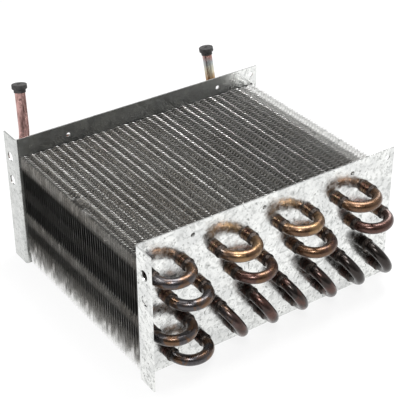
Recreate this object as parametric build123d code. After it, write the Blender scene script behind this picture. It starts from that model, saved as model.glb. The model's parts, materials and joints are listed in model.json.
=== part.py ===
"""Condenser coil: two folded end plates, a pack of fins, one serpentine copper circuit and two capped stubs.

Millimetres. X runs along the plates, Y from the return bends to the stubs, Z up.
The origin is under the middle of the whole coil, at the lower edge of the end plates.
"""

import os
from math import floor

from build123d import *

# End plates: one sheet each, folded away from the fins at the left end
plate_width = 262.0
plate_height = 130.0
plate_spacing = 198.0  # over the outer faces of the two sheets
sheet = 1.2
flange_width = 20.4
fold_radius = 1.2  # inside the fold

# Tubes: staggered rows, the lower of each pair shifted by half a pitch
tube_od = 9.525
tube_wall = 0.4
tubes_per_row = 8
row_count = 4

# Fins: the tubes are spread evenly over them
fin_thickness = 0.19
fin_pitch = 3.7
fin_end_gap = 1.4  # from an end plate to the fin beside it
fin_inset = 4.0  # from each end of the plates
fin_bottom = 2.0  # above the lower edge of the plates
fin_drop = 18.0  # below their upper edge
fin_clearance = 0.1

# Belled front ends and the return bends brazed into them
bell_wall = 0.7
bell_standoff = 0.3  # from the plate to the bell
bell_floor = 0.8
socket_depth = 5.0
braze_clearance = 0.08
bend_standoff = 0.3  # from the mouth of a bell to the start of the curve
plate_clearance = 0.15

# Rear ends: hairpin bends, and the two stubs
hairpin_standoff = 11.0  # from the rear plate to the start of a curve
stub_bore_depth = 25.0

# The inlet slants up from its elbow to a knee, and stands almost upright above it
inlet_elbow_offset = 11.0  # from the rear plate
inlet_elbow_radius = 14.0
inlet_knee_offset = 22.0
inlet_knee_drop = 8.0  # below the plates' upper edge
inlet_knee_shift = 8.8  # from its tube, along the plates
inlet_knee_radius = 30.0
inlet_rise = 32.1  # above the plates
inlet_top_shift = 11.9
inlet_lean_back = 8.4

# The outlet stands upright as far as its knee, and leans back above it
outlet_elbow_offset = 33.0
outlet_elbow_radius = 19.0
outlet_knee_drop = 22.0
outlet_knee_shift = -2.4
outlet_knee_radius = 30.0
outlet_rise = 10.5
outlet_top_shift = -4.6
outlet_lean_back = 5.0

# Push-on caps
cap_diameter = 13.8
cap_thickness = 4.4
cap_sleeve_wall = 0.55
cap_sleeve_length = 3.0
cap_seat_depth = 1.6
cap_edge_radius = 0.7
cap_clearance = 0.08
dimple_diameter = 3.2
dimple_depth = 0.7

# Holes, from the plates' ends and upper edge
screw_hole = 4.0
screw_drop = 10.4
left_screw_inset = 52.4
right_screw_inset = 46.6
middle_screw_shift = -8.6  # from the middle of the front plate, the only one that has it
corner_hole = 5.0
corner_hole_inset = 7.0
corner_hole_drop = 7.8
bolt_hole = 9.2
bolt_drops = (45.5, 21.5)
bolt_from_fold = 11.0

tube_radius = tube_od / 2
bell_bore_radius = tube_radius + braze_clearance
bell_radius = bell_bore_radius + bell_wall
bell_length = bell_floor + socket_depth
bell_mouth = bell_standoff + bell_length
bend_start = bell_mouth + bend_standoff

fin_width = plate_width - 2 * fin_inset
fin_height = plate_height - fin_bottom - fin_drop
tube_pitch = fin_width / tubes_per_row
row_pitch = fin_height / row_count

screw_height = plate_height - screw_drop
screw_x = (left_screw_inset, plate_width - right_screw_inset)
middle_screw_x = plate_width / 2 + middle_screw_shift


def tube_place(row, column):
    """The middle of one tube in the front plate's plane."""
    x = fin_inset + tube_pitch * (column + 0.25 + 0.5 * (row % 2))
    z = fin_bottom + fin_height - row_pitch * (row + 0.5)
    return Vector(x, 0, z)


def serpentine():
    """The 32 tubes in the order in which the gas passes them."""
    columns = range(tubes_per_row)
    order = [(0, c) for c in columns] + [(1, c) for c in reversed(columns)]
    order += [(2, 0), (2, 1), (3, 0), (3, 1)]
    for c in columns[2:]:
        order += [(2, c), (3, c)] if c % 2 == 0 else [(3, c), (2, c)]
    return order


def rod(place, radius, y_from, y_to):
    """A round bar along Y at a tube's place."""
    start = Plane(origin=(place.X, y_from, place.Z), z_dir=(0, 1, 0))
    return extrude(start * Circle(radius), amount=y_to - y_from)


def half_turn(first, second, y, side):
    """The curve that joins two tubes: half a torus that stands out to the front (-1) or the rear (+1)."""
    middle = (first + second) / 2
    across = second - first
    axis = Axis((middle.X, y, middle.Z), Vector(0, side, 0).cross(across))
    section = Plane(origin=(first.X, y, first.Z), z_dir=(0, 1, 0)) * Circle(tube_radius)
    return revolve(section, axis=axis, revolution_arc=180)


def belled_leg(place, y_to):
    """A straight tube from its belled front end to y_to."""
    bell = rod(place, bell_radius, -bell_mouth, -bell_standoff)
    bell -= rod(place, bell_bore_radius, -bell_mouth, -bell_mouth + socket_depth)
    return bell + rod(place, tube_radius, -bell_standoff, y_to)


def return_bend(first, second):
    """A U with two short legs that go down into the bells."""
    foot = -bell_mouth + socket_depth - braze_clearance
    legs = [rod(place, tube_radius, -bend_start, foot) for place in (first, second)]
    return half_turn(first, second, -bend_start, -1) + legs


def hairpin(first, second):
    """Two belled legs and the U that joins them behind the rear plate."""
    y_bend = plate_spacing + hairpin_standoff
    legs = [belled_leg(place, y_bend) for place in (first, second)]
    return half_turn(first, second, y_bend, 1) + legs


def stub_tube(place, elbow_offset, corners, radii):
    """One belled leg that turns up behind the rear plate, bored at its open end."""
    start = Vector(place.X, plate_spacing, place.Z)
    elbow = Vector(place.X, plate_spacing + elbow_offset, place.Z)
    path = FilletPolyline(start, elbow, *corners, radius=radii)
    stub = sweep(Plane(origin=start, z_dir=(0, 1, 0)) * Circle(tube_radius), path=path)
    bore = end_plane(path) * Circle(tube_radius - tube_wall)
    stub -= extrude(bore, amount=-stub_bore_depth)
    return belled_leg(place, plate_spacing) + stub, end_plane(path)


def end_plane(path):
    """The plane across the open end of a stub, facing out."""
    return Plane(origin=path @ 1, z_dir=path % 1)


def inlet():
    place = tube_place(*serpentine()[0])
    y_knee = plate_spacing + inlet_knee_offset
    knee = Vector(place.X + inlet_knee_shift, y_knee, plate_height - inlet_knee_drop)
    top = Vector(place.X + inlet_top_shift, y_knee + inlet_lean_back, plate_height + inlet_rise)
    radii = [inlet_elbow_radius, inlet_knee_radius]
    return stub_tube(place, inlet_elbow_offset, [knee, top], radii)


def outlet():
    place = tube_place(*serpentine()[-1])
    y_knee = plate_spacing + outlet_elbow_offset
    knee = Vector(place.X + outlet_knee_shift, y_knee, plate_height - outlet_knee_drop)
    top = Vector(place.X + outlet_top_shift, y_knee + outlet_lean_back, plate_height + outlet_rise)
    radii = [outlet_elbow_radius, outlet_knee_radius]
    return stub_tube(place, outlet_elbow_offset, [knee, top], radii)


def cap():
    """A soft cap with a broad head, on a plane across a tube's end."""
    head = Pos(0, 0, -cap_seat_depth) * Cylinder(
        cap_diameter / 2, cap_thickness, align=(Align.CENTER, Align.CENTER, Align.MIN)
    )
    head = fillet(head.edges().filter_by(GeomType.CIRCLE), cap_edge_radius)
    bore_radius = tube_radius + cap_clearance
    sleeve = Pos(0, 0, -cap_seat_depth - cap_sleeve_length) * Cylinder(
        bore_radius + cap_sleeve_wall,
        cap_sleeve_length,
        align=(Align.CENTER, Align.CENTER, Align.MIN),
    )
    seat = Pos(0, 0, cap_clearance) * Cylinder(
        bore_radius,
        cap_seat_depth + cap_sleeve_length + cap_clearance,
        align=(Align.CENTER, Align.CENTER, Align.MAX),
    )
    dimple = Pos(0, 0, cap_thickness - cap_seat_depth) * Cylinder(
        dimple_diameter / 2, dimple_depth, align=(Align.CENTER, Align.CENTER, Align.MAX)
    )
    return head + sleeve - seat - dimple


def fin():
    """One fin, standing across Y, with a slot for each row of tubes."""
    blank = Rectangle(fin_width, fin_height, align=(Align.MIN, Align.MIN))
    blank = Pos(fin_inset, fin_bottom) * blank
    play = tube_radius + fin_clearance
    for row in range(row_count):
        first, last = tube_place(row, 0), tube_place(row, tubes_per_row - 1)
        slot = Rectangle(last.X - first.X + 2 * play, 2 * play)
        blank -= Pos((first.X + last.X) / 2, first.Z) * slot
    return extrude(Plane.XZ * blank, amount=-fin_thickness)


def fin_pack():
    room = plate_spacing - 2 * (sheet + fin_end_gap) - fin_thickness
    count = floor(room / fin_pitch) + 1
    first = (plate_spacing - (count - 1) * fin_pitch - fin_thickness) / 2
    one = fin()
    return [Pos(0, first + i * fin_pitch, 0) * one for i in range(count)]


def folded_sheet():
    """The front plate's blank: a flat sheet with its left end folded forward."""
    y_free = -flange_width
    corners = [(0, sheet), (0, y_free), (sheet, y_free)]
    corners += [(sheet, 0), (plate_width, 0), (plate_width, sheet)]
    profile = make_face(Polyline(*corners, close=True))
    inner = profile.vertices().sort_by_distance((sheet, 0, 0))[0]
    profile = fillet(inner, fold_radius)
    outer = profile.vertices().sort_by_distance((0, sheet, 0))[0]
    profile = fillet(outer, fold_radius + sheet)
    return extrude(profile, amount=plate_height)


def across_plate(x, z, diameter):
    """A cutter through the flat of the front plate."""
    return rod(Vector(x, 0, z), diameter / 2, -sheet, 2 * sheet)


def end_plate(screws):
    """A folded plate with its tube, screw, corner and bolt holes."""
    hole = tube_od + 2 * plate_clearance
    cutters = [
        across_plate(place.X, place.Z, hole) for place in (tube_place(*tube) for tube in serpentine())
    ]
    cutters += [across_plate(x, screw_height, screw_hole) for x in screws]
    corner = (plate_width - corner_hole_inset, plate_height - corner_hole_drop)
    cutters.append(across_plate(*corner, corner_hole))
    for drop in bolt_drops:
        start = Plane(origin=(-sheet, -bolt_from_fold, plate_height - drop), z_dir=(1, 0, 0))
        cutters.append(extrude(start * Circle(bolt_hole / 2), amount=3 * sheet))
    return folded_sheet() - cutters


def rear_plate():
    front = end_plate(screw_x)
    return Pos(0, plate_spacing, 0) * mirror(front, about=Plane.XZ)


def build():
    """Each node's shape, still in the plates' own corner frame."""
    order = [tube_place(*tube) for tube in serpentine()]
    front_pairs = list(zip(order[0::2], order[1::2]))
    rear_pairs = list(zip(order[1:-1:2], order[2::2]))
    bends = [return_bend(*pair) for pair in front_pairs]
    half = tubes_per_row // 2
    inlet_tube, inlet_end = inlet()
    outlet_tube, outlet_end = outlet()
    nodes = {
        "front_end_plate": end_plate(screw_x + (middle_screw_x,)),
        "rear_end_plate": rear_plate(),
        "fin_pack": fin_pack(),
        "return_bends_top_row": bends[:half],
        "return_bends_second_row": bends[half : 2 * half],
        "return_bends_lower_rows": bends[2 * half :],
        "inlet_tube": inlet_tube,
        "outlet_tube": outlet_tube,
        "inlet_cap": inlet_end * cap(),
        "outlet_cap": outlet_end * cap(),
    }
    for number, pair in enumerate(rear_pairs, 1):
        nodes[f"hairpin_{number:02d}"] = hairpin(*pair)
    return nodes


def main():
    os.makedirs("parts", exist_ok=True)
    nodes = {}
    for name, shape in build().items():
        pieces = shape if isinstance(shape, list) else [shape]
        nodes[name] = [solid for piece in pieces for solid in piece.solids()]
    box = Compound([solid for solids in nodes.values() for solid in solids]).bounding_box()
    to_origin = Pos(-box.center().X, -box.center().Y, -box.min.Z)
    for name, solids in nodes.items():
        moved = [to_origin * solid for solid in solids]
        whole = moved[0] if len(moved) == 1 else Compound(children=moved)
        export_step(whole, f"parts/{name}.step")


main()
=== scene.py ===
"""The condenser coil's looks: rippled fins, galvanised plates, heat-tinted copper and soft caps."""

import json
import math

import bpy
import numpy as np
from mathutils import Matrix, Vector, noise

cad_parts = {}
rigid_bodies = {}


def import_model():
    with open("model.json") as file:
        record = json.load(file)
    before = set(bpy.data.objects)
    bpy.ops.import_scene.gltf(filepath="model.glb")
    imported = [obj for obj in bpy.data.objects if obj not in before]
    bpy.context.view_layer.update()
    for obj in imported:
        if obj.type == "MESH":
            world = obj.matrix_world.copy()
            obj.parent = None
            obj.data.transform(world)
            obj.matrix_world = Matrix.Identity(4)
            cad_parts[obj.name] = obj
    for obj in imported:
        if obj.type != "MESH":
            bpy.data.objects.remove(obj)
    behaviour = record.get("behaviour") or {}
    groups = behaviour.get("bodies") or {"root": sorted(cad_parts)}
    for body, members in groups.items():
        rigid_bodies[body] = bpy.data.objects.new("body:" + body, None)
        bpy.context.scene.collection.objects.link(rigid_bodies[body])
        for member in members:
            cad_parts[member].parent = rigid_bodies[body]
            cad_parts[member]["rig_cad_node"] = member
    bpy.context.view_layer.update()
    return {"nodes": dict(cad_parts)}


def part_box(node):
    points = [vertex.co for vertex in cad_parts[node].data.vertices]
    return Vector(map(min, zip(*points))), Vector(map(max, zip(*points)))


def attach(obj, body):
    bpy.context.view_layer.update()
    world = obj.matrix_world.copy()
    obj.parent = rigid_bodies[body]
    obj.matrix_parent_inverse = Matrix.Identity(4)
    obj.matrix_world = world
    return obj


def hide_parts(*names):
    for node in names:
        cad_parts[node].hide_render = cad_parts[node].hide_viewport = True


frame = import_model()
MM = 0.001

# Sizes repeated from the part's source, in metres
TUBES_PER_ROW = 8
ROWS = 4
TUBE_RADIUS = 4.7625 * MM
BELL_MOUTH = 6.1 * MM  # from the front plate
SHEET = 1.2 * MM
FIN_COUNT = 53
FIN_THICKNESS = 0.19 * MM

# The fins' finish, and the light and shade painted on their left side
COLLAR_ROOT = TUBE_RADIUS + 0.3 * MM  # radius of the round hole in a fin
BURR = 0.08 * MM
RIM_HEIGHT = 2.2 * BURR
EDGE_BAND = 1.9 * MM  # the strip beside the left edge that is bent back
SET_ENDS = (13, 26, 39, FIN_COUNT - 1)  # the last fin in each of four pieces
DENTS = ((1 * MM, 92 * MM), (7 * MM, 110 * MM))  # from the fins' left end, and behind the front plate
DEEP_SHADE = (0.10, 0.10, 0.095)  # painted shade between the fins' left edges, on the aluminium
DARK_BANDS = ((0.12, 0.28), (0.39, 0.52))  # heights of painted shade on the left side, as shares from the top
SHADED_BANDS = ((0.12, 0.52), (0.63, 0.74))
# a pale fringe of painted light at the foot of the left side
FRINGE = ((0.86, 1.5),)

# Copper, from bright to burnt
GOLD = (0.29, 0.175, 0.083)
BRONZE = (0.14, 0.074, 0.038)
UMBER = (0.095, 0.046, 0.036)
BLUED = (0.078, 0.072, 0.076)
SOOT = (0.032, 0.025, 0.022)
BURNT_UP_TO = 56 * MM  # the legs change between the second and the third row from the top
BRONZE_FROM = 64 * MM

# The room's light, and its dark side, which is the camera's
ROOM_LIGHT = 0.60
ROOM_SHADE = 0.18
DARK_SIDE = (-0.55, -0.80, 0.24)
FALL_FROM = 0.3  # cosine of the angle to the dark side at which the light begins to fall
SHADE_FROM = 0.8  # the cosine from which it stays at its lowest

FLOOR_HALF_WIDTH = 6
FLOOR_DROP = 0.3 * MM  # below the object, so that no faces meet
FLOOR_GLOW = 0.85

# The camera, found from the plates' corners in the photograph
CAMERA_AZIMUTH = math.radians(-34.958)
CAMERA_ELEVATION = math.radians(32.384)
CAMERA_LENS = 102.55
CAMERA_PLACE = Vector((-376.16, -632.70, 629.48)) * MM  # from the front plate's lower left corner

fins_low, fins_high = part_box("fin_pack")
front_low, front_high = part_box("front_end_plate")
rear_low, rear_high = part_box("rear_end_plate")
FRONT_Y = front_high.y - SHEET  # outer face of the front plate
LEFT_X = front_low.x
TUBE_PITCH = (fins_high.x - fins_low.x) / TUBES_PER_ROW
ROW_PITCH = (fins_high.z - fins_low.z) / ROWS
FIN_PITCH = (fins_high.y - fins_low.y - FIN_THICKNESS) / (FIN_COUNT - 1)
TUBES = [(row, column) for row in range(ROWS) for column in range(TUBES_PER_ROW)]


def tube_place(row, column):
    """The middle of one tube, as (x, z)."""
    x = fins_low.x + TUBE_PITCH * (column + 0.25 + 0.5 * (row % 2))
    z = fins_high.z - ROW_PITCH * (row + 0.5)
    return x, z


def fin_middle(number):
    """The y of one fin's plane, counted from the front."""
    return fins_low.y + FIN_THICKNESS / 2 + number * FIN_PITCH


def new_piece(name, points, faces):
    """A smooth-shaded mesh whose folds of more than 70 degrees stay sharp."""
    mesh = bpy.data.meshes.new(name)
    mesh.from_pydata([tuple(p) for p in points], [], [tuple(f) for f in faces])
    mesh.validate()
    mesh.polygons.foreach_set("use_smooth", [True] * len(mesh.polygons))
    mesh.set_sharp_from_angle(angle=math.radians(70))
    mesh.update()
    piece = bpy.data.objects.new(name, mesh)
    bpy.context.scene.collection.objects.link(piece)
    return piece


def joined(name, parts):
    """One piece from a list of (points, faces), whose faces count from their own part's first point."""
    starts = np.cumsum([0] + [len(points) for points, _ in parts[:-1]])
    points = np.concatenate([points for points, _ in parts])
    faces = np.concatenate([faces + start for (_, faces), start in zip(parts, starts)])
    return new_piece(name, points.tolist(), faces.tolist())


def dress(piece, material):
    """Gives a piece its only material, and puts an added piece on the body."""
    piece.data.materials.clear()
    piece.data.materials.append(material)
    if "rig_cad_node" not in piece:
        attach(piece, "root")


class Shader:
    """A material's node tree, with short calls for the nodes used here."""

    def __init__(self, name, metallic, roughness):
        self.material = bpy.data.materials.new(name)
        self.material.use_nodes = True
        self.tree = self.material.node_tree
        self.bsdf = self.tree.nodes["Principled BSDF"]
        self.bsdf.inputs["Metallic"].default_value = metallic
        self.bsdf.inputs["Roughness"].default_value = roughness
        self.place = self.tree.nodes.new("ShaderNodeTexCoord").outputs["Object"]

    def put(self, socket, value):
        if isinstance(value, bpy.types.NodeSocket):
            self.tree.links.new(value, socket)
        elif isinstance(value, (tuple, list)) and len(value) == 3 and len(socket.default_value) == 4:
            socket.default_value = (*value, 1)
        else:
            socket.default_value = value

    def node(self, kind, inputs, **settings):
        made = self.tree.nodes.new("ShaderNode" + kind)
        for key, value in settings.items():
            setattr(made, key, value)
        for key, value in inputs.items():
            self.put(made.inputs[key], value)
        return made

    def maths(self, operation, a, b):
        return self.node("Math", {0: a, 1: b}, operation=operation).outputs[0]

    def product(self, *factors):
        total = factors[0]
        for factor in factors[1:]:
            total = self.maths("MULTIPLY", total, factor)
        return total

    def ramp(self, value, low, high, to_low=0.0, to_high=1.0):
        made = self.node(
            "MapRange",
            {"Value": value, "From Min": low, "From Max": high, "To Min": to_low, "To Max": to_high},
            interpolation_type="SMOOTHSTEP",
        )
        return made.outputs["Result"]

    def stretched(self, factors, shift=(0, 0, 0)):
        made = self.node("Mapping", {"Vector": self.place, "Scale": factors, "Location": shift})
        return made.outputs["Vector"]

    def noise(self, size, detail=3.0, rough=0.55, where=None, twist=0.0):
        """Soft noise whose blobs are about size metres wide."""
        inputs = {"Scale": 1 / size, "Detail": detail, "Roughness": rough, "Distortion": twist}
        inputs["Vector"] = where or self.place
        return self.node("TexNoise", inputs).outputs["Fac"]

    def cells(self, size):
        """Patches about size metres wide, each with a colour of its own."""
        return self.node("TexVoronoi", {"Scale": 1 / size, "Vector": self.place}).outputs["Color"]

    def mix(self, factor, a, b):
        """Takes colour a to colour b. A mix node's colour sockets are numbers 6 and 7, and 2 at its end."""
        return self.node("Mix", {0: factor, 6: a, 7: b}, data_type="RGBA").outputs[2]

    def axis(self, name, vector=None):
        made = self.node("SeparateXYZ", {"Vector": vector or self.place})
        return made.outputs[name]

    def vector(self, operation, inputs):
        """Vector arithmetic; its first two sockets are numbers 0 and 1."""
        return self.node("VectorMath", inputs, operation=operation).outputs[0]

    def bump(self, height, distance, strength, normal=None):
        inputs = {"Height": height, "Distance": distance, "Strength": strength}
        if normal is not None:
            inputs["Normal"] = normal
        return self.node("Bump", inputs).outputs["Normal"]

    def finish(self, **sockets):
        for key, value in sockets.items():
            self.put(self.bsdf.inputs[key.replace("_", " ").title()], value)
        return self.material


def fin_patch(widths, heights, tubes=()):
    """A stretch of a fin's flat pattern: points (x, z), how much each may ripple, and cells.

    Round each tube the cells are left out, and the twelve points about that gap move onto the hole's rim.
    """
    columns, rows = len(widths), len(heights)
    x, z = np.meshgrid(widths, heights, indexing="ij")
    free = np.ones_like(x)
    skipped = np.zeros((columns - 1, rows - 1), bool)
    for tube in tubes:
        cx, cz = tube_place(*tube)
        i = int(np.argmin(abs(widths - cx)))
        j = int(np.argmin(abs(heights - cz)))
        skipped[i - 2 : i + 2, j - 1 : j + 1] = True
        for a in range(-2, 3):
            for b in (-1, 0, 1):
                if abs(a) < 2 and b == 0:
                    continue
                dx, dz = widths[i + a] - cx, heights[j + b] - cz
                reach = math.hypot(dx, dz)
                x[i + a, j + b] = cx + dx / reach * COLLAR_ROOT
                z[i + a, j + b] = cz + dz / reach * COLLAR_ROOT
                free[i + a, j + b] = 0
    number = np.arange(columns * rows).reshape(columns, rows)
    corners = [number[:-1, :-1], number[1:, :-1], number[1:, 1:], number[:-1, 1:]]
    cells = np.stack([c[~skipped] for c in corners], axis=1)
    used, cells = np.unique(cells, return_inverse=True)
    return x.ravel()[used], z.ravel()[used], free.ravel()[used], cells.reshape(-1, 4)


def fin_heights(strip_foot):
    """The levels of a fin's inner points: three at each row of tubes, and some between."""
    beside = 2.9 * MM  # fin_patch moves these points onto the hole's rim
    heights = {fins_low.z, fins_low.z + 3 * MM, fins_low.z + 6.5 * MM, strip_foot}
    for row in range(ROWS):
        z = tube_place(row, 0)[1]
        heights |= {z - beside, z, z + beside}
        if row < ROWS - 1:
            heights.add(z - ROW_PITCH / 2)
    return np.array(sorted(heights))


def fin_pattern():
    """The whole flat fin: fine along its top and its left edge, which are seen, and coarser inside."""
    coarse = np.linspace(fins_low.x, fins_high.x, TUBES_PER_ROW * 16 + 1)
    fine = np.linspace(fins_low.x, fins_high.x, TUBES_PER_ROW * 40 + 1)
    strip_foot = fins_high.z - 5 * MM
    edge = np.linspace(fins_low.x, coarse[1], 3)
    levels = np.linspace(fins_low.z, strip_foot, 46)
    parts = [
        fin_patch(coarse[1:], fin_heights(strip_foot), TUBES),
        fin_patch(edge, levels),
        fin_patch(fine, np.array([strip_foot, fins_high.z - 1.5 * MM, fins_high.z])),
    ]
    x, z, free = (np.concatenate([part[k] for part in parts]) for k in range(3))
    starts = np.cumsum([0] + [len(part[0]) for part in parts[:-1]])
    cells = np.concatenate([part[3] + start for part, start in zip(parts, starts)])
    return x, z, free, cells


def outer_sides(x, z):
    """Which of the points lie on the fin's left, right, lower and upper side."""
    near = 1e-7
    return (
        x < fins_low.x + near,
        x > fins_high.x - near,
        z < fins_low.z + near,
        z > fins_high.z - near,
    )


def rim_edges(cells, sides):
    """The cells' edges that lie along one of the fin's sides, each in its cell's direction."""
    edges = np.concatenate([np.stack([cells[:, k], cells[:, (k + 1) % 4]], axis=1) for k in range(4)])
    along = [side[edges].all(axis=1) for side in sides]
    return edges[np.any(along, axis=0)]


def ripple(x):
    """How far a fin stands off its plane at x: four waves to a tube, on a slow bow."""
    along = (x - fins_low.x) / TUBE_PITCH
    waves = 0.82 * np.sin(8 * np.pi * along)
    bow = 0.4 * np.sin(2 * np.pi * (along + 0.08))
    return (waves + bow) * MM


def near_left(x):
    """1 on the left edge, falling to 0 across the strip that is bent back."""
    return np.clip(1 - (x - fins_low.x) / EDGE_BAND, 0, 1)


def edge_bends(z):
    """How far the left edge is pushed back at each height: four bands, as the tube rows leave them."""
    down = (fins_high.z - z) / (fins_high.z - fins_low.z)
    spots = (0.0, 0.10, 0.14, 0.27, 0.33, 0.39, 0.50, 0.535, 0.61, 0.645, 0.75, 0.80, 1.0)
    bends = (1.15, 1.1, -0.1, -0.1, 0.4, -0.1, -0.1, 0.95, 0.95, 0.15, 0.35, 0.6, 1.5)
    return np.interp(down, spots, bends) * MM


def dents(x, y, z):
    """How far each point is drawn towards the two knocks in the upper left edge."""
    wide, deep, tall = 3.2 * MM, 6 * MM, 3 * MM
    push = np.zeros_like(x)
    for inset, behind in DENTS:
        cx, cy = fins_low.x + inset, FRONT_Y + behind
        reach = ((x - cx) / wide) ** 2 + ((y - cy) / deep) ** 2
        push += (cy - y) * np.exp(-reach - (fins_high.z - z) / tall)
    return 0.75 * push


def fin_depths(number, x, z, free, random):
    """The y of each point in the middle of one fin, which leans, curls and frays a little by chance."""
    lean, curl = random.normal(0, 1, 2)
    knots = np.linspace(fins_low.z, fins_high.z, 19)
    frayed = np.interp(z, knots, random.normal(0, 1, len(knots)))
    up = (z - fins_low.z) / (fins_high.z - fins_low.z)
    right = np.clip(1 - (fins_high.x - x) / (9 * MM), 0, 1)
    y = fin_middle(number) + free * (ripple(x) + MM * (0.1 * lean * up + 0.3 * curl * right))
    fray = 0.12 + 0.5 * np.clip(1 - up / 0.25, 0, 1)
    y = y + near_left(x) * (edge_bends(z) + MM * frayed * fray)
    return y + dents(x, y, z)


def blade(x, y, z, half, cells):
    """The front and the back of one fin."""
    points = np.concatenate([np.stack([x, y - half, z], axis=1), np.stack([x, y + half, z], axis=1)])
    return points, np.concatenate([cells, cells[:, ::-1] + len(x)])


def rim(crest, across, outward, rims):
    """The sheared edge of one fin, as a low ridge round it."""
    points = np.concatenate([crest - across, crest + outward * RIM_HEIGHT, crest + across])
    a, b, step = rims[:, 0], rims[:, 1], len(crest)
    strips = [np.stack([b + k, a + k, a + k + step, b + k + step], axis=1) for k in (0, step)]
    return points, np.concatenate(strips)


def fin_sets():
    """The fins in four sets, and their sheared edges, which stand out as a fine burr."""
    x, z, free, cells = fin_pattern()
    sides = outer_sides(x, z)
    rim_points, rims = np.unique(rim_edges(cells, sides), return_inverse=True)
    rims = rims.reshape(-1, 2)
    at_left, at_right, at_foot, at_top = (side[rim_points].astype(float) for side in sides)
    outward = np.stack([at_right - at_left, 0 * at_left, at_top - at_foot], axis=1)
    half = FIN_THICKNESS / 2 * (1 - 0.6 * near_left(x))  # thinner towards the left edge
    across = np.outer(half[rim_points] + BURR * at_top, (0, 1, 0))  # wider along the top
    random = np.random.RandomState(seed=7)
    pieces, blades, edges = [], [], []
    for fin in range(FIN_COUNT):
        y = fin_depths(fin, x, z, free, random)
        crest = np.stack([x, y, z], axis=1)[rim_points]
        blades.append(blade(x, y, z, half, cells))
        edges.append(rim(crest, across, outward, rims))
        if fin in SET_ENDS:
            number = len(pieces) // 2 + 1
            pieces.append(joined(f"rippled_fins_{number}", blades))
            pieces.append(joined(f"fin_edges_{number}", edges))
            blades, edges = [], []
    return pieces


def between_rings(start, rings, sides):
    """The faces that join rings of points, one after the other, from point number start."""
    faces = []
    for k in range(1, rings):
        low, high = start + (k - 1) * sides, start + k * sides
        for s in range(sides):
            t = (s + 1) % sides
            faces.append((low + s, low + t, high + t, high + s))
    return faces


def collars():
    """The fins' collars, end to end round each tube."""
    sides, points, faces = 12, [], []
    flare = [(0.0, 0.62), (0.12, 0.24), (0.9, 0.2)]  # share of the pitch, and mm beyond the tube
    for tube in TUBES:
        cx, cz = tube_place(*tube)
        rings = []
        for fin in range(FIN_COUNT):
            y = fin_middle(fin)
            rings += [(y + share * FIN_PITCH, TUBE_RADIUS + extra * MM) for share, extra in flare]
        rings = rings[:-2]  # the last fin's collar would go past the fins' box
        faces += [face[::-1] for face in between_rings(len(points), len(rings), sides)]
        for y, radius in rings:
            for s in range(sides):
                turn = 2 * math.pi * s / sides
                points.append((cx + radius * math.cos(turn), y, cz + radius * math.sin(turn)))
    return new_piece("fin_collars", points, faces)


def braze():
    """A lumpy fillet where each return bend goes into its bell."""
    sides, points, faces = 20, [], []
    # mm in front of the bell's mouth, and radius in mm
    profile = [(-1.6, 5.60), (-0.7, 5.85), (0.0, 5.9), (0.7, 5.6), (1.3, 5.1), (2.0, 4.85), (2.6, 4.72)]
    first, last = profile[0][0], profile[-1][0]
    for index, tube in enumerate(TUBES):
        cx, cz = tube_place(*tube)
        faces += between_rings(len(points), len(profile), sides)
        for ahead, radius in profile:
            for s in range(sides):
                turn = 2 * math.pi * s / sides
                seed = Vector((math.cos(turn) * 1.4, math.sin(turn) * 1.4 + index * 5.0, ahead * 0.7))
                swell = 0.45 * noise.noise(seed) + 0.2 * noise.noise(seed * 2.3)
                ends = math.sin(math.pi * (ahead - first) / (last - first))
                reach = (radius + swell * ends) * MM
                y = FRONT_Y - BELL_MOUTH - (ahead + 0.5 * swell * ends) * MM
                points.append((cx + reach * math.cos(turn), y, cz + reach * math.sin(turn)))
    return new_piece("braze_fillets", points, faces)


def rear_flange(s):
    """Up to a half on the rear plate's flange, and 0 on both plates' faces."""
    beside = s.ramp(s.axis("X"), LEFT_X + 8 * MM, LEFT_X + 3 * MM)
    return s.product(beside, s.ramp(s.axis("Y"), 0.0, fins_high.y, 0.0, 0.5))


def inside_rear_plate(s):
    """1 on the rear plate's inner face, fading towards its right end, and 0 elsewhere: there the zinc gets
    painted shade and is rougher.
    """
    x, y = s.axis("X"), s.axis("Y")
    return s.product(
        s.ramp(y, FRONT_Y + 30 * MM, fins_high.y),
        s.ramp(y, rear_low.y + 0.9 * MM, rear_low.y + 0.5 * MM),
        s.ramp(x, LEFT_X + 1 * MM, LEFT_X + 5 * MM),
        s.ramp(x, rear_high.x - 18 * MM, rear_high.x - 48 * MM),
    )


def spangled_normal(s, spangle):
    """Each spangle of zinc is tilted a little, and the sheet is faintly uneven."""
    flat = s.node("NewGeometry", {}).outputs["Normal"]
    offset = s.vector("SUBTRACT", {0: spangle, 1: (0.5, 0.5, 0.5)})
    offset = s.vector("SCALE", {0: offset, "Scale": 0.03})
    tilted = s.vector("NORMALIZE", {0: s.vector("ADD", {0: flat, 1: offset})})
    return s.bump(s.noise(5 * MM, detail=5), 0.05 * MM, 0.4, tilted)


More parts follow.
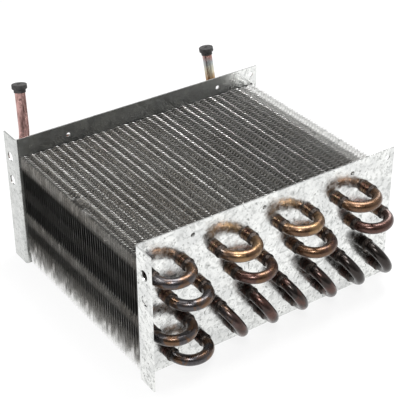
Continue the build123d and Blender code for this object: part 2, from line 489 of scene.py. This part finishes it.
def galvanised():
    """Zinc-coated sheet: spangles, grey mottling, dark flecks, and on the rear plate's inner face painted
    shade and a rougher skin.
    """
    s = Shader("galvanised_steel", 1.0, 0.2)
    spangle = s.cells(3.2 * MM)
    cloud = s.noise(16 * MM, detail=4)
    mottle = s.noise(4.5 * MM, detail=4, rough=0.6, twist=0.6)
    fleck = s.noise(2.6 * MM, detail=3, where=s.stretched((1.0, 1.0, 0.8), (3, 5, 7)))
    base = s.mix(s.ramp(cloud, 0.35, 0.65), (0.74, 0.75, 0.74), (0.90, 0.91, 0.89))
    base = s.mix(s.ramp(mottle, 0.46, 0.66, 0.0, 0.6), base, (0.42, 0.43, 0.42))
    base = s.mix(s.ramp(fleck, 0.61, 0.70, 0.0, 0.75), base, (0.16, 0.17, 0.16))
    base = s.mix(rear_flange(s), base, (0.40, 0.41, 0.40))
    inside = inside_rear_plate(s)
    # painted shade on the rear plate's inner face, lighter towards its right end
    painted_shade = s.mix(s.ramp(cloud, 0.35, 0.65), (0.25, 0.255, 0.25), (0.31, 0.315, 0.30))
    base = s.mix(s.product(inside, 0.9), base, painted_shade)
    rough = s.ramp(s.axis("X", spangle), 0.0, 1.0, 0.13, 0.25)
    rough = s.maths("ADD", rough, s.product(inside, 0.28))
    return s.finish(base_color=base, roughness=rough, normal=spangled_normal(s, spangle))


def left_bands(s, bands, blend, ragged):
    """1 on the fins' left side within bands of height, given as shares from the top, and 0 elsewhere."""
    tall = fins_high.z - fins_low.z
    wander = s.noise(3 * MM, detail=3, where=s.stretched((0.3, 1.0, 0.35)))
    height = s.maths("ADD", s.axis("Z"), s.product(wander, 2 * ragged))
    total = 0.0
    for start, end in bands:
        top, foot = (fins_high.z + ragged - share * tall for share in (start, end))
        above_foot = s.ramp(height, foot - blend, foot + blend)
        below_top = s.ramp(height, top + blend, top - blend)
        total = s.maths("ADD", s.product(above_foot, below_top), total)
    return s.product(total, s.ramp(s.axis("X"), fins_low.x + 5 * MM, fins_low.x + 3 * MM))


def painted_shade_left_rims(s, base):
    """Painted shade: the rims' top is painted darker at the left, and brightens to the right."""
    painted_shade = s.ramp(s.axis("X"), fins_low.x + 60 * MM, fins_high.x, 0.85, 0.05)
    return s.mix(painted_shade, base, (0.14, 0.14, 0.135))


def painted_shade_right_blades(s, base):
    """Painted shade: behind the brighter rims at the right the blades are painted darker."""
    dark = s.ramp(s.axis("X"), fins_low.x + 80 * MM, fins_high.x - 60 * MM, 0.0, 0.42)
    return s.mix(dark, base, (0.22, 0.22, 0.21))


def painted_light_and_shade_left_side(s, base):
    """Painted shade in dark gaps behind the left edges and in dark bands at the rows of tubes, and painted
    light in a pale fringe at the foot.
    """
    x = s.axis("X")
    # painted shade in the gaps behind the left edges
    behind_edge = s.ramp(x, fins_low.x + 1.3 * MM, fins_low.x + 2.4 * MM)
    gap = s.product(behind_edge, 0.65, s.ramp(x, fins_low.x + 7 * MM, fins_low.x + 4 * MM))
    base = s.mix(gap, base, DEEP_SHADE)
    # painted shade in bands at the rows of tubes
    for bands, depth in ((SHADED_BANDS, 0.5), (DARK_BANDS, 0.7)):
        shaded = left_bands(s, bands, 2 * MM, 1.2 * MM)
        base = s.mix(s.product(shaded, depth), base, DEEP_SHADE)
    # painted light in a pale fringe at the foot
    on_edge = s.ramp(x, fins_low.x + 2.4 * MM, fins_low.x + 1.3 * MM, 0.35, 1.0)
    fringe = s.product(on_edge, left_bands(s, FRINGE, 15 * MM, 4 * MM))
    return s.mix(fringe, base, (0.92, 0.92, 0.91))


def painted_light_right_end(s, base):
    # painted light: the fins' right end is painted pale
    right = s.ramp(s.axis("X"), fins_high.x - 26 * MM, fins_high.x - 4 * MM)
    return s.mix(right, base, (1.0, 1.0, 0.99))


def aluminium(name, tone_a, tone_b, rough, changes=()):
    """Rolled sheet, cloudy and finely streaked, whose colour then goes through each of the changes."""
    s = Shader(name, 1.0, rough)
    cloud = s.noise(40 * MM, detail=3)
    streak = s.noise(3 * MM, detail=4, where=s.stretched((1.0, 1.0, 0.35)))
    base = s.mix(s.ramp(cloud, 0.35, 0.65), tone_a, tone_b)
    base = s.mix(s.ramp(streak, 0.3, 0.75, 0.0, 0.25), base, (0.50, 0.47, 0.44))
    for change in changes:
        base = change(s, base)
    roughness = s.ramp(streak, 0.2, 0.8, rough - 0.08, rough + 0.1)
    return s.finish(base_color=base, roughness=roughness, normal=s.bump(streak, 0.05 * MM, 0.5))


def near_joints(s):
    """1 in front of the front plate as far as just past the brazed joints, and 0 elsewhere."""
    y = s.axis("Y")
    ahead = s.ramp(y, FRONT_Y - 12 * MM, FRONT_Y - 6 * MM)
    return s.product(ahead, s.ramp(y, FRONT_Y + 1 * MM, FRONT_Y))


def near_mouths(s):
    """1 round the mouths of the bells, and 0 nearer to the front plate."""
    return s.product(near_joints(s), s.ramp(s.axis("Y"), FRONT_Y - 2.5 * MM, FRONT_Y - 5 * MM))


def bend_copper(name, light, dark):
    """Heat-tinted copper, blued at the left end, dark at the right, with soot near the brazed ends."""
    rough = 0.29
    s = Shader(name, 1.0, rough)
    broad = s.noise(11 * MM, detail=2, twist=0.6)
    fine = s.noise(2.6 * MM, detail=5)
    base = s.mix(s.ramp(broad, 0.38, 0.62), light, dark)
    blued = s.mix(s.ramp(broad, 0.42, 0.60), BLUED, BRONZE)
    base = s.mix(s.ramp(s.axis("X"), LEFT_X + 70 * MM, LEFT_X + 82 * MM), blued, base)
    base = s.mix(s.ramp(s.axis("X"), LEFT_X + 180 * MM, LEFT_X + 206 * MM), base, dark)
    base = s.mix(s.ramp(fine, 0.50, 0.80, 0.0, 0.7), base, SOOT)
    base = s.mix(s.product(near_joints(s), 0.7), base, SOOT)
    roughness = s.ramp(fine, 0.3, 0.7, rough - 0.06, rough + 0.14)
    wavy = s.bump(s.noise(4 * MM, detail=2), 0.12 * MM, 0.6)
    return s.finish(base_color=base, roughness=roughness, normal=wavy, coat_weight=0.5, coat_roughness=0.2)


def leg_copper():
    """The hairpins: bare behind; in front burnt, but bronze in the upper two rows, with sooty mouths."""
    s = Shader("hairpin_copper", 1.0, 0.3)
    broad = s.noise(12 * MM, detail=3)
    fine = s.noise(2.0 * MM, detail=4)
    bare = s.mix(s.ramp(broad, 0.35, 0.65), (0.18, 0.09, 0.06), (0.10, 0.05, 0.036))
    burnt = s.mix(s.ramp(fine, 0.35, 0.60), UMBER, SOOT)
    bronzed = s.mix(s.ramp(fine, 0.38, 0.60), (0.22, 0.15, 0.09), UMBER)
    ahead = s.mix(s.ramp(s.axis("Z"), BURNT_UP_TO, BRONZE_FROM), burnt, bronzed)
    base = s.mix(s.ramp(s.axis("Y"), FRONT_Y + 1 * MM, FRONT_Y), bare, ahead)
    base = s.mix(s.product(near_mouths(s), s.ramp(fine, 0.58, 0.42)), base, SOOT)
    return s.finish(base_color=base, roughness=s.ramp(fine, 0.3, 0.7, 0.24, 0.42))


def stub_copper(name, low_tone, bands, rough, streaked):
    """Copper whose colour goes up the stub in bands of (height, blend, colour), streaked along its length."""
    reach = 10 * MM  # of the noise that makes the bands uneven
    s = Shader(name, 1.0, rough)
    height = s.maths("ADD", s.axis("Z"), s.product(s.noise(8 * MM, detail=3), reach))
    base = low_tone
    for z, width, tone in bands:
        middle = z + reach / 2
        base = s.mix(s.ramp(height, middle - width, middle + width), base, tone)
    streak = s.noise(2.6 * MM, detail=4, where=s.stretched((1, 1, 0.08)))
    base = s.mix(s.ramp(streak, 0.44, 0.64, 0.0, streaked), base, (0.12, 0.065, 0.055))
    base = s.mix(near_joints(s), base, SOOT)
    roughness = s.ramp(streak, 0.3, 0.7, rough - 0.08, rough + 0.12)
    normal = s.bump(s.noise(6 * MM, detail=2), 0.7 * MM, 0.8)
    return s.finish(base_color=base, roughness=roughness, normal=normal)


def inlet_copper():
    """Pink, and a little paler from the knee up."""
    bands = [(138 * MM, 16 * MM, (0.60, 0.37, 0.34))]
    return stub_copper("inlet_copper", (0.56, 0.34, 0.32), bands, 0.30, 0.8)


def outlet_copper():
    """Tinted by heat in rings: brown, straw, blue-grey and red, from below."""
    bands = [
        (106 * MM, 6 * MM, (0.36, 0.20, 0.08)),
        (116 * MM, 5 * MM, (0.66, 0.62, 0.48)),
        (125 * MM, 6 * MM, (0.34, 0.38, 0.40)),
        (133 * MM, 5 * MM, (0.40, 0.20, 0.17)),
    ]
    return stub_copper("outlet_copper", (0.42, 0.24, 0.11), bands, 0.26, 0.3)


def burnt_braze():
    s = Shader("burnt_braze", 1.0, 0.42)
    patch = s.noise(1.6 * MM, detail=4)
    base = s.mix(s.ramp(patch, 0.35, 0.7), (0.03, 0.026, 0.025), (0.11, 0.088, 0.075))
    roughness = s.ramp(patch, 0.3, 0.7, 0.35, 0.6)
    normal = s.bump(s.noise(1.2 * MM, detail=4), 0.25 * MM, 0.9)
    return s.finish(base_color=base, roughness=roughness, normal=normal)


def soft_black():
    s = Shader("black_cap_rubber", 0.0, 0.55)
    dust = s.noise(3 * MM, detail=5)
    base = s.mix(s.ramp(dust, 0.4, 0.75), (0.024, 0.023, 0.023), (0.062, 0.058, 0.058))
    roughness = s.ramp(dust, 0.3, 0.7, 0.5, 0.72)
    normal = s.bump(s.noise(0.8 * MM, detail=3), 0.06 * MM, 0.7)
    return s.finish(base_color=base, roughness=roughness, normal=normal)


def dress_metal_sheets():
    """The plates' zinc, and the fins with their rims and collars."""
    zinc = galvanised()
    for plate in ("front_end_plate", "rear_end_plate"):
        dress(frame["nodes"][plate], zinc)
    # painted light and shade, on both the blades and the rims
    painted_light_and_shade = (painted_light_and_shade_left_side, painted_light_right_end)
    blades = aluminium(
        "fin_aluminium", (0.76, 0.75, 0.73), (0.70, 0.68, 0.65), 0.4, (painted_shade_right_blades, *painted_light_and_shade)
    )
    rims = aluminium(
        "fin_edge_aluminium", (0.95, 0.94, 0.92), (0.90, 0.89, 0.87), 0.26, (painted_shade_left_rims, *painted_light_and_shade)
    )
    for piece in fin_sets():
        dress(piece, rims if piece.name.startswith("fin_edges") else blades)
        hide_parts("fin_pack")
    dress(collars(), aluminium("collar_aluminium", (0.5, 0.49, 0.47), (0.42, 0.40, 0.38), 0.4))


def dress_tubes():
    """The return bends by row, the hairpins, the two stubs with their caps, and the braze."""
    nodes = frame["nodes"]
    dress(nodes["return_bends_top_row"], bend_copper("golden_copper", GOLD, BRONZE))
    dress(nodes["return_bends_second_row"], bend_copper("brown_copper", BRONZE, UMBER))
    dress(nodes["return_bends_lower_rows"], bend_copper("umber_copper", UMBER, SOOT))
    legs = leg_copper()
    for name, node in nodes.items():
        if name.startswith("hairpin_"):
            dress(node, legs)
    dress(nodes["inlet_tube"], inlet_copper())
    dress(nodes["outlet_tube"], outlet_copper())
    rubber = soft_black()
    for cap in ("inlet_cap", "outlet_cap"):
        dress(nodes[cap], rubber)
    dress(braze(), burnt_braze())


def white(node):
    """Makes a background or a glow white, of strength 1."""
    node.inputs["Color"].default_value = (1, 1, 1, 1)
    node.inputs["Strength"].default_value = 1.0
    return node


def mixed(tree, factor, a, b, output):
    """Links a mix of shaders a and b into the tree's output node."""
    mix = tree.nodes.new("ShaderNodeMixShader")
    tree.links.new(factor, mix.inputs["Fac"])
    tree.links.new(a.outputs[0], mix.inputs[1])
    tree.links.new(b.outputs[0], mix.inputs[2])
    tree.links.new(mix.outputs[0], tree.nodes[output].inputs["Surface"])


def room_level(tree):
    """The room's strength in each direction, lower towards its dark side."""
    where = tree.nodes.new("ShaderNodeTexCoord")
    facing = tree.nodes.new("ShaderNodeVectorMath")
    facing.operation = "DOT_PRODUCT"
    facing.inputs[1].default_value = DARK_SIDE
    tree.links.new(where.outputs["Generated"], facing.inputs[0])
    level = tree.nodes.new("ShaderNodeMapRange")
    level.inputs["From Min"].default_value = FALL_FROM
    level.inputs["From Max"].default_value = SHADE_FROM
    level.inputs["To Min"].default_value = ROOM_LIGHT
    level.inputs["To Max"].default_value = ROOM_SHADE
    tree.links.new(facing.outputs["Value"], level.inputs["Value"])
    return level.outputs["Result"]


def plain_light():
    """White where the camera looks past the floor; for other rays a grey room, darker on one side."""
    world = bpy.data.worlds.new("studio")
    bpy.context.scene.world = world
    world.use_nodes = True
    tree = world.node_tree
    shown = white(tree.nodes["Background"])
    room = white(tree.nodes.new("ShaderNodeBackground"))
    tree.links.new(room_level(tree), room.inputs["Strength"])
    ray = tree.nodes.new("ShaderNodeLightPath")
    mixed(tree, ray.outputs["Is Camera Ray"], room, shown, "World Output")


def white_rays(tree):
    """1 for what the camera, a glossy or a see-through ray meets."""
    ray = tree.nodes.new("ShaderNodeLightPath")
    total = ray.outputs["Is Camera Ray"]
    for name in ("Is Glossy Ray", "Is Transmission Ray"):
        add = tree.nodes.new("ShaderNodeMath")
        add.operation = "MAXIMUM"
        tree.links.new(total, add.inputs[0])
        tree.links.new(ray.outputs[name], add.inputs[1])
        total = add.outputs[0]
    return total


def floor_paint():
    """A matt white that glows for the rays that see it, and still keeps the object's shadow."""
    material = bpy.data.materials.new("white_floor")
    material.use_nodes = True
    tree = material.node_tree
    matt = tree.nodes["Principled BSDF"]
    matt.inputs["Base Color"].default_value = (0.93, 0.93, 0.93, 1)
    matt.inputs["Roughness"].default_value = 0.9
    matt.inputs["Specular IOR Level"].default_value = 0.0
    glow = white(tree.nodes.new("ShaderNodeEmission"))
    share = tree.nodes.new("ShaderNodeMath")
    share.operation = "MULTIPLY"
    share.inputs[1].default_value = FLOOR_GLOW
    tree.links.new(white_rays(tree), share.inputs[0])
    mixed(tree, share.outputs[0], matt, glow, "Material Output")
    return material


def white_floor():
    far = FLOOR_HALF_WIDTH
    mesh = bpy.data.meshes.new("floor")
    mesh.from_pydata([(-far, -far, 0), (far, -far, 0), (far, far, 0), (-far, far, 0)], [], [(0, 1, 2, 3)])
    mesh.materials.append(floor_paint())
    floor = bpy.data.objects.new("floor", mesh)
    bpy.context.scene.collection.objects.link(floor)
    floor.location.z = -FLOOR_DROP


def lamp(name, place, target, width, height, watts):
    """A rectangular softbox that faces its target."""
    data = bpy.data.lights.new(name, "AREA")
    data.shape = "RECTANGLE"
    data.size, data.size_y = width, height
    data.energy = watts
    made = bpy.data.objects.new(name, data)
    bpy.context.scene.collection.objects.link(made)
    made.location = place
    made.rotation_mode = "QUATERNION"
    made.rotation_quaternion = (Vector(target) - Vector(place)).to_track_quat("-Z", "Y")


def photo_camera():
    """The photograph's camera, placed from the front plate's lower left corner."""
    back = Vector(
        (
            math.sin(CAMERA_AZIMUTH) * math.cos(CAMERA_ELEVATION),
            -math.cos(CAMERA_AZIMUTH) * math.cos(CAMERA_ELEVATION),
            math.sin(CAMERA_ELEVATION),
        )
    )
    right = Vector((math.cos(CAMERA_AZIMUTH), math.sin(CAMERA_AZIMUTH), 0))
    data = bpy.data.cameras.new("photo_camera")
    data.lens = CAMERA_LENS
    data.sensor_width = 36
    data.clip_start, data.clip_end = 0.01, 50
    camera = bpy.data.objects.new("photo_camera", data)
    bpy.context.scene.collection.objects.link(camera)
    turn = Matrix((right, back.cross(right), back)).transposed()
    place = Vector((LEFT_X, FRONT_Y, 0)) + CAMERA_PLACE
    camera.matrix_world = Matrix.Translation(place) @ turn.to_4x4()
    bpy.context.scene.camera = camera


dress_metal_sheets()
dress_tubes()
plain_light()
white_floor()
lamp("top_softbox", (0.08, 0.12, 1.5), (0, 0, 0.1), 0.7, 0.7, 8)
lamp("upper_right_softbox", (0.55, 0.1, 1.4), (0, 0, 0.1), 0.7, 0.7, 15)
lamp("key_softbox", (-0.56, -0.80, 1.30), (0, 0, 0.08), 0.35, 0.35, 9.5)
lamp("right_softbox", (1.2, 0.5, 0.7), (0, 0, 0.05), 0.5, 0.7, 5)
lamp("left_softbox", (-1.3, 0.1, 0.6), (0, 0, 0.05), 0.5, 0.7, 3)
photo_camera()
bpy.context.scene.view_settings.view_transform = "Standard"
